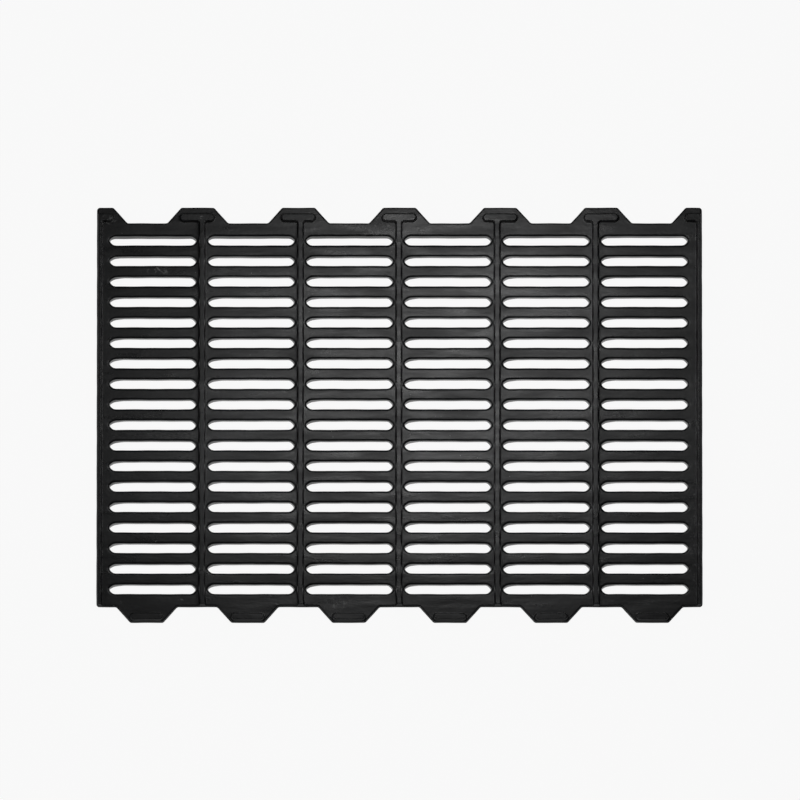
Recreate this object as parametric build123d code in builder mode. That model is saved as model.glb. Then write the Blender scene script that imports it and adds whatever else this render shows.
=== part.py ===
import os
from math import atan2, degrees, radians, tan

from build123d import *

# A cast iron floor slat for a pig house, lying on its flat walking face with its ribs up.
# X runs across the ribs, Y along them, Z up from the walking face. Millimetres and degrees.

# Outline, the same on every level but for the draft of the outer wall
tab_pitch = 100.0  # from one tab to the next along an edge
pitches_across = 6  # tab pitches in the width of the slat
tab_depth = 15.5  # reach of a tab beyond the straight edge
tab_tip = 32.5  # width of a tab at its tip
tab_base = 60.7  # width of a tab where it leaves the straight edge
corner_radius = 3.0  # every corner of the outline, inner and outer
wall_draft = 5.0  # lean of the outer wall, which lets the casting leave its mould

# Plate and its drain slots
plate_thickness = 10.0
slot_rows = 18
row_pitch = 20.36  # from one slot to the next along the ribs
slot_length = 84.6  # at the walking face
slot_width = 8.2  # at the walking face
slot_nose = 1.8  # flat at each end of a slot, between its slanted corners
slot_draft = 3.5  # the slots widen away from the walking face
mouth_chamfer = 1.6  # depth of the broken edge round the wide end of a slot
mouth_angle = 45.0  # lean of that broken edge
slot_land = 12.8  # metal between two slots in a row, under a rib
end_land = 13.6  # metal between the outermost rows and the straight edges

# Ribs, and the bars on the tabs that the slat rests on in use
rib_height = 12.0  # above the plate
rib_crest = 4.7  # width on top
side_rib_crest = 3.0  # width on top of the two outermost ribs
rib_draft = 4.0  # lean of the sides of ribs and bars
bar_crest = 6.5  # width of a bar on top
bar_nose = 4.0  # flat at each end of a bar's foot, between its slanted corners
cross_bar_length = 33.0  # bars that cap the ribs, on the first row of tabs
cross_bar_setback = 10.9  # from the tip of a tab to the middle of its cross bar
tip_bar_length = 31.5  # plain bars, on the second row of tabs
tip_bar_setback = 5.5  # from the tip of a tab to the middle of its tip bar

# Worked out from the sizes above
slat_width = tab_pitch * pitches_across
body_length = (slot_rows - 1) * row_pitch + slot_width + 2 * end_land
straight_edge = body_length / 2
tab_end = straight_edge + tab_depth
flank_angle = degrees(atan2(tab_depth, (tab_base - tab_tip) / 2))
total_height = plate_thickness + rib_height
foot_spread = rib_height * tan(radians(rib_draft))  # how much a rib's foot stands out, each side
wall_lean = total_height * tan(radians(wall_draft))
throat_depth = plate_thickness - mouth_chamfer
mouth_spread = plate_thickness * tan(radians(slot_draft)) + mouth_chamfer * tan(radians(mouth_angle))
column_pitch = slot_length + slot_land
side_rib_foot = slat_width / 2 - wall_lean - side_rib_crest - foot_spread
slot_columns = int((2 * (side_rib_foot - mouth_spread) + slot_land) // column_pitch)
cross_bar_line = tab_end - cross_bar_setback
tip_bar_line = tip_bar_setback - tab_end
rib_length = cross_bar_line + straight_edge

# The first row of tabs has a half tab at each side, the second row sits between those tabs
first_tabs = [tab_pitch * i - slat_width / 2 for i in range(pitches_across + 1)]
second_tabs = [x + tab_pitch / 2 for x in first_tabs[:-1]]

with BuildSketch() as outline:
    Rectangle(slat_width, body_length)
    with Locations(*[(x, straight_edge) for x in first_tabs]):
        Trapezoid(tab_base, tab_depth, flank_angle, align=(Align.CENTER, Align.MIN))
    with Locations(*[(x, -straight_edge) for x in second_tabs]):
        Trapezoid(tab_base, tab_depth, flank_angle, rotation=180, align=(Align.CENTER, Align.MIN))
    Rectangle(slat_width, 2 * tab_end, mode=Mode.INTERSECT)
    fillet(outline.vertices(), corner_radius)



def slanted_strip(length, width, nose):
    """A long flat strip whose four corners are slanted, which leaves a short nose at each end."""
    with BuildSketch() as strip:
        Rectangle(length, width)
        chamfer(strip.vertices(), (width - nose) / 2)
    return strip.sketch


# Core of one drain slot: the throat that opens at the walking face, then its broken edge
with BuildPart() as slot_core:
    add(slanted_strip(slot_length, slot_width, slot_nose))
    extrude(amount=throat_depth)
    draft(slot_core.faces().filter_by(Axis.Z, reverse=True), Plane.XY, -slot_draft)
    extrude(slot_core.faces().sort_by(Axis.Z)[-1], amount=mouth_chamfer)
    mouth = slot_core.faces().filter_by(lambda side: side.center().Z > throat_depth)
    draft(mouth.filter_by(Axis.Z, reverse=True), Plane.XY.offset(throat_depth), -mouth_angle)

# Everything that stands on the plate, drafted, and trimmed flush with the drafted outer wall
cross_bar_foot = slanted_strip(cross_bar_length + 2 * foot_spread, bar_crest + 2 * foot_spread, bar_nose)
tip_bar_foot = slanted_strip(tip_bar_length + 2 * foot_spread, bar_crest + 2 * foot_spread, bar_nose)
with BuildPart() as ribwork:
    with BuildSketch(Plane.XY.offset(plate_thickness)):
        # A rib under every land between two columns of slots, up to the cross bars
        with Locations((0, -straight_edge)):
            with GridLocations(column_pitch, 0, slot_columns - 1, 1):
                Rectangle(rib_crest + 2 * foot_spread, rib_length, align=(Align.CENTER, Align.MIN))
        with Locations((side_rib_foot, -straight_edge)):
            Rectangle(slat_width / 2, rib_length, align=(Align.MIN, Align.MIN))
        with Locations((-side_rib_foot, -straight_edge)):
            Rectangle(slat_width / 2, rib_length, align=(Align.MAX, Align.MIN))
        with Locations(*[(x, cross_bar_line) for x in first_tabs]):
            add(cross_bar_foot)
        with Locations(*[(x, tip_bar_line) for x in second_tabs]):
            add(tip_bar_foot)
    extrude(amount=rib_height, taper=rib_draft)
    with BuildSketch():
        add(outline.sketch)
    extrude(amount=total_height, taper=wall_draft, mode=Mode.INTERSECT)

with BuildPart() as floor_slat:
    add(outline.sketch)
    extrude(amount=plate_thickness, taper=wall_draft)
    add(ribwork.part)
    with GridLocations(column_pitch, row_pitch, slot_columns, slot_rows):
        add(slot_core.part, mode=Mode.SUBTRACT)

floor_slat.part.label = "floor_slat"
os.makedirs("parts", exist_ok=True)
export_step(floor_slat.part, "parts/floor_slat.step")
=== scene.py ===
from math import atan2, cos, hypot, pi, radians, sin, tan

import bmesh
import bpy
import numpy as np
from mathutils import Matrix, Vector
from mathutils.geometry import delaunay_2d_cdt


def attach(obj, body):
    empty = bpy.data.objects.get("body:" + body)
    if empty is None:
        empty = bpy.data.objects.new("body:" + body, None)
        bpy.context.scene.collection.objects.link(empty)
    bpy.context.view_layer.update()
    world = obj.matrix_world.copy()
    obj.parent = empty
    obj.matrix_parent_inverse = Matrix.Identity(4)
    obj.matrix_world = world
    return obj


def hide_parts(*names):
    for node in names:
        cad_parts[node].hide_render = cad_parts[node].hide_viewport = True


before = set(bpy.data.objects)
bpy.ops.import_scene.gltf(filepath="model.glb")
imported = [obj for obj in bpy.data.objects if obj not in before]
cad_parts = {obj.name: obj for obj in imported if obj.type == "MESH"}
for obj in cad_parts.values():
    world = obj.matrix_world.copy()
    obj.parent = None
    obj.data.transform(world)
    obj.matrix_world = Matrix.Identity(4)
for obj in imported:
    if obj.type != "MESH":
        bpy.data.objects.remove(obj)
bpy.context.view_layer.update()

# The casting is drawn in plan, in millimetres: every edge is a set of lines round a rounded path,
# and one height function says how high the iron stands at each point of them.

plate = dict(halfWidth=300.0, straightEdge=190.76, tabReach=15.5, tabTip=16.25, tabBase=30.35, tabPitch=100.0,
             corner=3.0, thick=10.0, lean=5.0, edgeRound=1.3, underRound=0.6)
slot = dict(rows=18, columns=6, rowPitch=20.36, columnPitch=97.4, halfLength=42.3, halfWidth=4.1, nose=0.9,
            sideRound=5.4, noseRound=2.1, lean=3.5, mouthRound=2.2)
rib = dict(high=12.0, lean=4.0, foot=3.189, sideFoot=5.764, crestRound=0.7, footRound=0.7)
bar = dict(foot=4.089, crossHalfLength=17.339, crossLine=195.36, tipHalfLength=16.589, tipLine=-200.76, stemRound=2.0)
# how far the sand mould and its cores let things stray: wavy edges, cores set a little off the middle,
# and slot walls that lean more at their left and right ends and in the first two rows
mould = dict(wander=0.13, coreX=-0.65, coreY=-0.4, leftLean=1.9, leftReach=12.0, rightLean=1.4, rightReach=4.5, rowLean=(1.8, 0.65))

full = plate["thick"] + rib["high"]


def roundedPath(corners, radii, spacing):
    # points round a closed path and the unit normals to its left, which is inwards for an anticlockwise path
    count = len(corners)
    arcs = []
    for i in range(count):
        before, here, after = (Vector(corners[(i + k) % count]) for k in (-1, 0, 1))
        into, out = (here - before).normalized(), (after - here).normalized()
        turn = atan2(into.x * out.y - into.y * out.x, into.dot(out))
        side = 1 if turn > 0 else -1
        left = Vector((-into.y, into.x))
        centre = here - into * radii[i] * tan(abs(turn) / 2) + left * radii[i] * side
        steps = max(2, round(abs(turn) / (pi / 10)))
        arc = []
        for k in range(steps + 1):
            a = turn * k / steps
            normal = Vector((left.x * cos(a) - left.y * sin(a), left.x * sin(a) + left.y * cos(a)))
            arc.append((centre - normal * radii[i] * side, normal))
        arcs.append(arc)
    points, normals = [], []
    for i in range(count):
        points += [p for p, n in arcs[i]]
        normals += [n for p, n in arcs[i]]
        start, end = arcs[i][-1][0], arcs[(i + 1) % count][0][0]
        pieces = max(1, round((end - start).length / spacing))
        points += [start.lerp(end, k / pieces) for k in range(1, pieces)]
        normals += [arcs[i][-1][1]] * (pieces - 1)
    return np.array(points), np.array(normals)


def leaningStep(d, high, lean, footRound, edgeRound):
    # height of a leaning wall at a distance d in from its foot, with its foot and top edge rounded
    a = radians(lean)
    z = np.clip(d / tan(a), 0, high)
    if footRound:
        t = footRound * tan((pi / 2 - a) / 2)
        curve = footRound - np.sqrt(np.maximum(footRound ** 2 - (d + t) ** 2, 0))
        z = np.where((d > -t) & (d < t * sin(a)), curve, z)
    t = edgeRound * tan((pi / 2 - a) / 2)
    top = high * tan(a)
    curve = high - edgeRound + np.sqrt(np.maximum(edgeRound ** 2 - (top + t - d) ** 2, 0))
    return np.where((d > top - t * sin(a)) & (d < top + t), curve, z)


def stepLines(high, lean, footRound, edgeRound):
    # the distances at which such a step needs a line of points
    a = radians(lean)
    lines = []
    if footRound:
        t = footRound * tan((pi / 2 - a) / 2)
        lines += [-t + footRound * sin(u * (pi / 2 - a)) for u in (0, 0.4, 0.75, 1)]
    t = edgeRound * tan((pi / 2 - a) / 2)
    centre = high * tan(a) + t
    lines += [centre - edgeRound * cos(a + u * (pi / 2 - a)) for u in (0, 0.2, 0.4, 0.6, 0.8, 1)]
    return lines


def inBox(x, y, halfX, halfY):
    dx, dy = np.abs(x) - halfX, np.abs(y) - halfY
    return -np.hypot(np.maximum(dx, 0), np.maximum(dy, 0)) - np.minimum(np.maximum(dx, dy), 0)


def inBar(x, y, halfLength, foot):
    return foot - np.hypot(np.maximum(np.abs(x) - halfLength + foot, 0), y)


def joined(a, b, r):
    # two distances as one, with a round web where the shapes meet
    web = np.hypot(np.maximum(r + a, 0), np.maximum(r + b, 0))
    return web - np.maximum(r, np.minimum(-a, -b))


def ribDistance(x, y):
    stems = np.full(x.shape, -99.0)
    low, high = -plate["straightEdge"] - 8, bar["crossLine"]
    for centre, foot in ribPlaces:
        stems = np.maximum(stems, inBox(x - centre, y - (low + high) / 2, foot, (high - low) / 2))
    caps = np.full(x.shape, -99.0)
    for centre in firstTabs:
        caps = np.maximum(caps, inBar(x - centre, y - bar["crossLine"], bar["crossHalfLength"], bar["foot"]))
    for centre in secondTabs:
        caps = np.maximum(caps, inBar(x - centre, y - bar["tipLine"], bar["tipHalfLength"], bar["foot"]))
    return joined(stems, caps, bar["stemRound"])


def pathDistance(x, y, path):
    # distance in from a closed path, worked out against every run of it
    a, b = path, np.roll(path, -1, axis=0)
    run = b - a
    length2 = (run ** 2).sum(axis=1)
    nearest, inside = np.empty(len(x)), np.empty(len(x), bool)
    for s in range(0, len(x), 4000):
        px, py = x[s:s + 4000, None], y[s:s + 4000, None]
        along = np.clip(((px - a[:, 0]) * run[:, 0] + (py - a[:, 1]) * run[:, 1]) / length2, 0, 1)
        nearest[s:s + 4000] = np.hypot(px - a[:, 0] - along * run[:, 0], py - a[:, 1] - along * run[:, 1]).min(axis=1)
        over = (a[:, 1] > py) != (b[:, 1] > py)
        cross = a[:, 0] + (py - a[:, 1]) * run[:, 0] / np.where(run[:, 1] == 0, 1, run[:, 1])
        inside[s:s + 4000] = (over & (px < cross)).sum(axis=1) % 2 == 1
    return np.where(inside, nearest, -nearest)


def slotDistance(x, y):
    # distance out from the nearest slot's edge at the walking face, and where the point is from that slot's middle
    i = np.clip(np.round(x / slot["columnPitch"] - 0.5), -3, 2) + 0.5
    j = np.clip(np.round(y / slot["rowPitch"] - 0.5), -9, 8) + 0.5
    u, v = x - i * slot["columnPitch"], y - j * slot["rowPitch"]
    d = np.full(len(x), 20.0)
    near = (np.abs(u) < slot["halfLength"] + 4) & (np.abs(v) < slot["halfWidth"] + 4)
    d[near] = -pathDistance(u[near], v[near], slotPath)
    return d, u, v, j


def ironHeight(x, y):
    rim = pathDistance(x, y, outline)
    deck = leaningStep(rim, plate["thick"], plate["lean"], 0, plate["edgeRound"])
    wall = leaningStep(rim, full, plate["lean"], 0, rib["crestRound"])
    raised = plate["thick"] + leaningStep(ribDistance(x, y), rib["high"], rib["lean"], rib["footRound"], rib["crestRound"])
    share = np.clip((raised - plate["thick"]) / 1.2, 0, 1)
    z = deck + share * (np.maximum(deck, np.minimum(wall, raised)) - deck)
    cut = slotDistance(x, y)[0]
    return z - plate["thick"] + leaningStep(cut, plate["thick"], slot["lean"], 0, slot["mouthRound"])


# where everything stands
firstTabs = [plate["tabPitch"] * (i - 3) for i in range(7)]
secondTabs = [x + plate["tabPitch"] / 2 for x in firstTabs[:-1]]
ribPlaces = [(slot["columnPitch"] * (i - 2), rib["foot"]) for i in range(5)]
ribPlaces += [(-plate["halfWidth"], rib["sideFoot"]), (plate["halfWidth"], rib["sideFoot"])]
ribPlaces.sort()
slotPlaces = [(slot["columnPitch"] * (i - 2.5), slot["rowPitch"] * (j - 8.5))
              for j in range(slot["rows"]) for i in range(slot["columns"])]

edge, tip = plate["straightEdge"], plate["straightEdge"] + plate["tabReach"]
corners = [(-plate["halfWidth"], -edge)]
for x in secondTabs:
    corners += [(x - plate["tabBase"], -edge), (x - plate["tabTip"], -tip), (x + plate["tabTip"], -tip), (x + plate["tabBase"], -edge)]
corners += [(plate["halfWidth"], -edge), (plate["halfWidth"], tip), (plate["halfWidth"] - plate["tabTip"], tip),
            (plate["halfWidth"] - plate["tabBase"], edge)]
for x in firstTabs[-2:0:-1]:
    corners += [(x + plate["tabBase"], edge), (x + plate["tabTip"], tip), (x - plate["tabTip"], tip), (x - plate["tabBase"], edge)]
corners += [(-plate["halfWidth"] + plate["tabBase"], edge), (-plate["halfWidth"] + plate["tabTip"], tip), (-plate["halfWidth"], tip)]
outline, outlineIn = roundedPath(corners, [plate["corner"]] * len(corners), 5.0)

# the lines of points, all closed loops in plan
def rimRing(d):
    return outline + outlineIn * d

footStep = dict(rim=0.045, slot=0.03)
rimSteps = [footStep["rim"]] + stepLines(plate["thick"], plate["lean"], 0, plate["edgeRound"])
rimSteps += [d for d in stepLines(full, plate["lean"], 0, rib["crestRound"]) if rimSteps[-1] + 0.1 < d < plate["corner"] - 0.2]
rimLoops = [rimRing(d) for d in rimSteps]

ribLoops = []
ribLines = stepLines(rib["high"], rib["lean"], rib["footRound"], rib["crestRound"])
for (centre, foot), capCentre in zip(ribPlaces, firstTabs):
    low = -edge - 8
    under, over = bar["crossLine"] - bar["foot"], bar["crossLine"] + bar["foot"]
    left, right = capCentre - bar["crossHalfLength"], capCentre + bar["crossHalfLength"]
    tee = [(centre - foot, low), (centre + foot, low), (centre + foot, under), (right, under), (right, over),
           (left, over), (left, under), (centre - foot, under)]
    end = bar["foot"] - 0.001
    path, pathIn = roundedPath(tee, [3, 3, bar["stemRound"], end, end, end, end, bar["stemRound"]], 9.0)
    ribLoops += [path + pathIn * d for d in ribLines]
for centre in secondTabs:
    left, right = centre - bar["tipHalfLength"], centre + bar["tipHalfLength"]
    under, over = bar["tipLine"] - bar["foot"], bar["tipLine"] + bar["foot"]
    path, pathIn = roundedPath([(left, under), (right, under), (right, over), (left, over)], [bar["foot"] - 0.001] * 4, 6.0)
    ribLoops += [path + pathIn * d for d in ribLines]

cut = slot["halfWidth"] - slot["nose"]
mouth = [(-slot["halfLength"], -slot["nose"]), (cut - slot["halfLength"], -slot["halfWidth"]),
         (slot["halfLength"] - cut, -slot["halfWidth"]), (slot["halfLength"], -slot["nose"]),
         (slot["halfLength"], slot["nose"]), (slot["halfLength"] - cut, slot["halfWidth"]),
         (cut - slot["halfLength"], slot["halfWidth"]), (-slot["halfLength"], slot["nose"])]
slotPath, slotIn = roundedPath(mouth, [slot[k + "Round"] for k in ("nose", "side", "side", "nose") * 2], 4.0)
slotSteps = [footStep["slot"]] + stepLines(plate["thick"], slot["lean"], 0, slot["mouthRound"])
print("paths drawn:", len(rimLoops) + len(ribLoops), "loops and", len(slotPlaces), "slots")


def inIron(p, runs):
    # which points have iron round them, counting the runs of its border to their right
    order = np.argsort(p[:, 1])
    levels = p[order, 1]
    odd = np.zeros(len(p), bool)
    for (ax, ay), (bx, by) in runs:
        if ay != by:
            level = order[np.searchsorted(levels, min(ay, by)):np.searchsorted(levels, max(ay, by))]
            odd[level] ^= p[level, 0] < ax + (p[level, 1] - ay) * (bx - ax) / (by - ay)
    return odd


def fillPlan(points, edges, border):
    # triangles with every edge kept, inside the border and outside its holes
    verts, _, faces, _, _, _ = delaunay_2d_cdt([Vector(p) for p in points], edges, [], 0, 1e-5)
    verts, faces = np.array(verts), np.array(faces)
    return verts, faces[inIron(verts[faces].mean(axis=1), border)]


def castSlat():
    # everything that shows from above, from the foot of the outer wall to the foot of every slot's wall
    slotLoops = [[slotPath - slotIn * d + place for place in slotPlaces] for d in slotSteps]
    points, edges = [], []
    for loop in rimLoops + ribLoops + sum(slotLoops, []):
        edges += [(len(points) + k, len(points) + (k + 1) % len(loop)) for k in range(len(loop))]
        points += list(loop)
    border = [run for loop in [rimLoops[0]] + slotLoops[0] for run in zip(loop, np.roll(loop, -1, axis=0))]
    plan, faces = fillPlan(points, edges, border)
    blocks = [np.column_stack([plan, ironHeight(plan[:, 0], plan[:, 1])])]
    print("top filled:", len(faces), "triangles")

    # the runs along its open edges, iron on the left, and at each of their points the way into the iron
    runs = np.concatenate([faces[:, [0, 1]], faces[:, [1, 2]], faces[:, [2, 0]]])
    _, first, uses = np.unique(np.sort(runs, axis=1), axis=0, return_index=True, return_counts=True)
    runs = runs[first[uses == 1]]
    rim = runs[:, 0]
    place = np.zeros(len(plan), int)
    place[rim] = np.arange(len(rim))
    pairs = place[runs]
    heading = plan[runs[:, 1]] - plan[runs[:, 0]]
    heading /= np.linalg.norm(heading, axis=1)[:, None]
    intoIron = np.zeros((len(rim), 2))
    for end in (0, 1):
        np.add.at(intoIron, pairs[:, end], np.column_stack([-heading[:, 1], heading[:, 0]]))
    intoIron /= np.linalg.norm(intoIron, axis=1)[:, None]

    # the round edge below them, and the walking face
    faces = faces.tolist()
    upper = rim
    for reach, high in ((0.3, 0.3), (1, 0)):
        foot = plan[rim] + intoIron * reach * plate["underRound"]
        lower = sum(len(block) for block in blocks) + np.arange(len(rim))
        blocks.append(np.column_stack([foot, np.full(len(foot), high * plate["underRound"])]))
        faces += [(upper[j], upper[i], lower[i], lower[j]) for i, j in pairs]
        upper = lower
    under, triangles = fillPlan(foot, pairs.tolist(), foot[pairs])
    faces += (triangles[:, ::-1] + sum(len(block) for block in blocks)).tolist()
    blocks.append(np.column_stack([under, np.zeros(len(under))]))

    verts = np.concatenate(blocks)
    x, y, z = verts.T.copy()
    cut, u, v, row = slotDistance(x, y)
    below = np.where(cut < slotSteps[-1] + 0.2, np.clip(1 - z / plate["thick"], 0, 1), 0)
    far = np.clip(v / slot["halfWidth"], 0, 1)
    left = np.clip(1 - (u + slot["halfLength"]) / mould["leftReach"], 0, 1)
    right = np.clip((u - slot["halfLength"] + mould["rightReach"]) / mould["rightReach"], 0, 1)
    most, least = mould["rowLean"]
    firstRows = np.clip(row - 7, 0, 1.5) / 1.5 * ((most + least) / 2 + (least - most) / 2 * x / plate["halfWidth"])
    deep = np.clip(pathDistance(x, y, outline) / 8 - 0.5, 0, 1)
    verts[:, 0] += mould["coreX"] * deep - mould["rightLean"] * right * (0.3 + 0.7 * far) * below
    verts[:, 1] += mould["coreY"] * deep - np.maximum(mould["leftLean"] * left, firstRows) * far * below
    verts[:, 0] += mould["wander"] * (np.sin(y / 9 + 2 * np.sin(x / 41)) + np.sin(y / 3.7 + x / 17)) * 0.5
    verts[:, 1] += mould["wander"] * (np.sin(x / 11 + 2 * np.sin(y / 29)) + np.sin(x / 4.3 - y / 13)) * 0.5
    verts[:, 0] = np.clip(verts[:, 0], -plate["halfWidth"], plate["halfWidth"])
    verts[:, 1] = np.clip(verts[:, 1], -tip, tip)

    mesh = bpy.data.meshes.new("slatCasting")
    mesh.from_pydata((verts * 0.001).tolist(), [], faces)
    piece = bpy.data.objects.new("slatCasting", mesh)
    bpy.context.scene.collection.objects.link(piece)
    bm = bmesh.new()
    bm.from_mesh(mesh)
    bmesh.ops.remove_doubles(bm, verts=bm.verts, dist=0.000004)
    bmesh.ops.dissolve_degenerate(bm, edges=bm.edges, dist=0.000004)
    bm.to_mesh(mesh)
    bm.free()
    mesh.shade_smooth()
    flat = piece.modifiers.new("flatFaces", "WEIGHTED_NORMAL")
    flat.weight = 100
    return piece


slatCasting = castSlat()
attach(slatCasting, "root")
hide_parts("floor_slat")
print("casting made:", len(slatCasting.data.polygons), "faces")


# black dip coating over sand-cast iron; places are x, y and half sizes in metres, then how strong. The sheen patches
# are painted sheen: a lighter grey laid into the coat's colour where the lamps' soft sheen falls, while the worn places
# are bare iron
coat = dict(dark=(0.0035, 0.0037, 0.0041), light=(0.014, 0.0145, 0.0155), paintedSheen=(0.05, 0.052, 0.055), bare=(0.34, 0.34, 0.335))
sheenPatches = [(-0.146, 0.115, 0.055, 0.06, 0.8), (-0.15, -0.045, 0.06, 0.10, 0.9), (-0.243, -0.06, 0.05, 0.05, 0.4),
          (0.10, 0.12, 0.13, 0.06, 0.7), (0.10, -0.03, 0.11, 0.07, 0.6), (-0.05, 0.125, 0.05, 0.04, 0.5)]
worn = [(-0.022, 0.188, 0.028, 0.011, 1.0), (-0.009, 0.1955, 0.008, 0.003, 0.9), (-0.239, 0.144, 0.011, 0.006, 1.0),
        (-0.277, -0.187, 0.003, 0.002, 1.0), (-0.2165, -0.184, 0.003, 0.002, 0.9), (-0.1956, 0.1945, 0.0025, 0.002, 1.0),
        (-0.062, -0.188, 0.016, 0.008, 0.5), (-0.288, 0.193, 0.009, 0.005, 0.5), (0.293, -0.12, 0.006, 0.07, 0.3)]


class Nodes:
    # short hands for laying out a material
    def __init__(self, name):
        self.material = bpy.data.materials.new(name)
        self.material.use_nodes = True
        self.tree = self.material.node_tree
        self.tree.nodes.clear()

    def add(self, kind, inputs=None, **settings):
        node = self.tree.nodes.new("ShaderNode" + kind)
        for key, value in settings.items():
            setattr(node, key, value)
        for key, value in (inputs or {}).items():
            if isinstance(value, bpy.types.NodeSocket):
                self.tree.links.new(value, node.inputs[key])
            else:
                node.inputs[key].default_value = value
        return node

    def noise(self, where, scale, detail=4, rough=0.55, warp=0):
        node = self.add("TexNoise", {"Vector": where, "Scale": scale, "Detail": detail, "Roughness": rough, "Distortion": warp})
        return node.outputs["Fac"]

    def ramp(self, value, low, high, dark=0.0, light=1.0):
        node = self.add("MapRange", {"Value": value, "From Min": low, "From Max": high, "To Min": dark, "To Max": light},
                        interpolation_type="SMOOTHSTEP")
        return node.outputs["Result"]

    def math(self, how, a, b=0.0):
        return self.add("Math", {0: a, 1: b}, operation=how).outputs[0]

    def blend(self, share, a, b):
        node = self.add("Mix", {"Factor": share}, data_type="RGBA")
        for socket, value in ((node.inputs[6], a), (node.inputs[7], b)):
            if isinstance(value, bpy.types.NodeSocket):
                self.tree.links.new(value, socket)
            else:
                socket.default_value = (*value, 1)
        return node.outputs[2]


def coatedIron():
    n = Nodes("coatedIron")
    place = n.add("TexCoord").outputs["Object"]
    drawn = n.add("Mapping", {"Vector": place, "Scale": (0.4, 1.0, 1.0)}).outputs["Vector"]  # drawn out along the slots

    def patches(spots, edge):
        total = None
        for x, y, halfX, halfY, strength in spots:
            away = n.add("VectorMath", {0: place, 1: (x, y, 0)}, operation="SUBTRACT").outputs[0]
            away = n.add("VectorMath", {0: away, 1: (1 / halfX, 1 / halfY, 0)}, operation="MULTIPLY").outputs[0]
            away = n.add("VectorMath", {0: away}, operation="LENGTH").outputs["Value"]
            spot = n.ramp(away, 1.25, edge, 0, strength)
            total = spot if total is None else n.math("MAXIMUM", total, spot)
        return total

    cloud = n.noise(drawn, 26, 5, 0.62, 0.5)
    streak = n.noise(n.add("Mapping", {"Vector": place, "Scale": (0.16, 1.0, 1.0)}).outputs["Vector"], 130, 4, 0.6, 0.3)
    fine = n.noise(place, 420, 3, 0.6)
    mottle = n.noise(place, 210, 6, 0.75, 0.3)

    colour = n.blend(n.ramp(cloud, 0.35, 0.7), coat["dark"], coat["light"])
    # painted sheen: the coat's colour turns lighter grey in the sheen patches, broken up by the clouds and streaks,
    # standing in for the lamps' soft reflection
    paintedSheen = n.math("MULTIPLY", patches(sheenPatches, 0.2), n.ramp(n.math("ADD", n.math("MULTIPLY", cloud, 0.6), n.math("MULTIPLY", streak, 0.4)), 0.3, 0.68, 0.25, 1))
    colour = n.blend(paintedSheen, colour, coat["paintedSheen"])
    bare = n.math("MULTIPLY", patches(worn, 0.4), n.ramp(mottle, 0.5, 0.66))
    flecks = n.math("MULTIPLY", n.ramp(n.noise(place, 330, 2, 0.5), 0.735, 0.77), n.ramp(n.noise(place, 31, 3, 0.6), 0.5, 0.62))
    colour = n.blend(n.math("MAXIMUM", bare, n.math("MULTIPLY", flecks, 0.7)), colour, coat["bare"])

    shine = n.math("ADD", n.math("MULTIPLY", cloud, 0.5), n.math("MULTIPLY", streak, 0.5))
    roughness = n.math("ADD", n.ramp(shine, 0.34, 0.66, 0.42, 0.25), n.math("MULTIPLY", bare, 0.2))

    swell = n.noise(drawn, 42, 2, 0.5)
    high = n.math("ADD", swell, n.math("MULTIPLY", streak, 0.22))
    high = n.math("ADD", high, n.math("MULTIPLY", n.noise(place, 300, 4, 0.6), 0.14))
    high = n.math("SUBTRACT", high, n.math("MULTIPLY", n.ramp(fine, 0.36, 0.24), 0.05))
    bump = n.add("Bump", {"Height": high, "Strength": 1.0, "Distance": 0.0007}).outputs["Normal"]

    shader = n.add("BsdfPrincipled", {"Base Color": colour, "Roughness": roughness, "Normal": bump, "IOR": 1.5})
    n.add("OutputMaterial", {"Surface": shader.outputs["BSDF"]})
    return n.material


slatCasting.data.materials.append(coatedIron())
print("coating mixed")


# pale floor: white to the camera and in reflections, with a little of its own light and shade left
studio = dict(floorSize=7.0, floorGlow=0.93, tilt=4.5, distance=13.8, frameWidth=0.79253, aim=(0.0005, 0.01507, 0.0))


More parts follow.
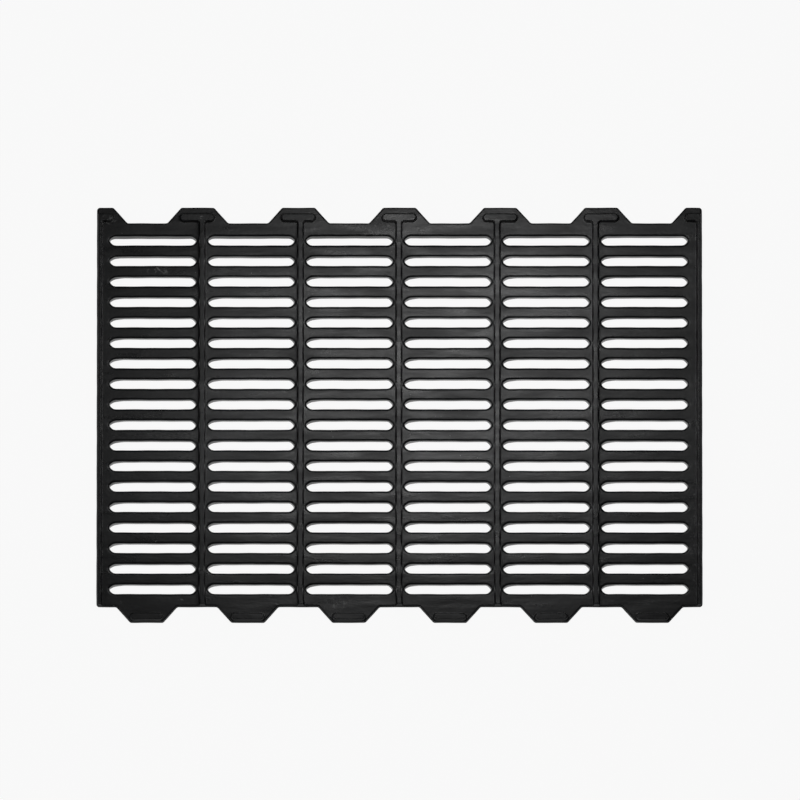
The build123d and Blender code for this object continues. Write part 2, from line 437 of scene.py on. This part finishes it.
def layFloor():
    half = studio["floorSize"] / 2
    mesh = bpy.data.meshes.new("paleFloor")
    mesh.from_pydata([(-half, -half, 0), (half, -half, 0), (half, half, 0), (-half, half, 0)], [], [(0, 1, 2, 3)])
    floor = bpy.data.objects.new("paleFloor", mesh)
    floor.location.z = -0.0004
    bpy.context.scene.collection.objects.link(floor)
    n = Nodes("paleFloor")
    path = n.add("LightPath").outputs
    place = n.add("VectorMath", {0: n.add("TexCoord").outputs["Object"]}, operation="ABSOLUTE").outputs[0]
    place = n.add("SeparateXYZ", {"Vector": place}).outputs
    under = n.math("MULTIPLY", n.math("LESS_THAN", place["X"], 0.29), n.math("LESS_THAN", place["Y"], 0.187))
    seen = n.math("MAXIMUM", path["Is Camera Ray"], n.math("MULTIPLY", path["Is Glossy Ray"], n.math("MULTIPLY", under, 0.8)))
    matt = n.add("BsdfDiffuse", {"Color": (0.9, 0.9, 0.9, 1)}).outputs[0]
    glow = n.add("Emission", {"Color": (1, 1, 1, 1), "Strength": 1.0}).outputs[0]
    mixed = n.add("MixShader", {0: n.math("MULTIPLY", seen, studio["floorGlow"]), 1: matt, 2: glow}).outputs[0]
    n.add("OutputMaterial", {"Surface": mixed})
    mesh.materials.append(n.material)


def softBox(name, place, target, width, depth, watts):
    light = bpy.data.lights.new(name, "AREA")
    light.shape, light.size, light.size_y, light.energy = "RECTANGLE", width, depth, watts
    box = bpy.data.objects.new(name, light)
    box.location = place
    box.rotation_euler = (Vector(target) - Vector(place)).to_track_quat("-Z", "Y").to_euler()
    bpy.context.scene.collection.objects.link(box)


layFloor()
softBox("farBox", (0.06, 0.20, 0.95), (0.06, 0.20, 0), 0.30, 0.10, 0.7)
softBox("nearBox", (0.0, 0.035, 0.95), (0.0, 0.035, 0), 0.34, 0.10, 0.6)
softBox("sideCard", (-1.2, -0.9, 1.1), (0, 0, 0), 0.8, 0.8, 2)

world = bpy.data.worlds.new("studioRoom")
world.use_nodes = True
world.node_tree.nodes["Background"].inputs["Color"].default_value = (0.86, 0.89, 0.93, 1)
world.node_tree.nodes["Background"].inputs["Strength"].default_value = 0.06
bpy.context.scene.world = world

camera = bpy.data.objects.new("camera", bpy.data.cameras.new("camera"))
tilt = radians(studio["tilt"])
camera.location = Vector(studio["aim"]) + studio["distance"] * Vector((0, -sin(tilt), cos(tilt)))
camera.rotation_euler = (tilt, 0, 0)
camera.data.sensor_width = 36
camera.data.lens = 36 * studio["distance"] / studio["frameWidth"]
camera.data.clip_end = 40
bpy.context.scene.collection.objects.link(camera)
bpy.context.scene.camera = camera
bpy.context.scene.view_settings.view_transform = "Standard"
print("floor, lights and camera set")
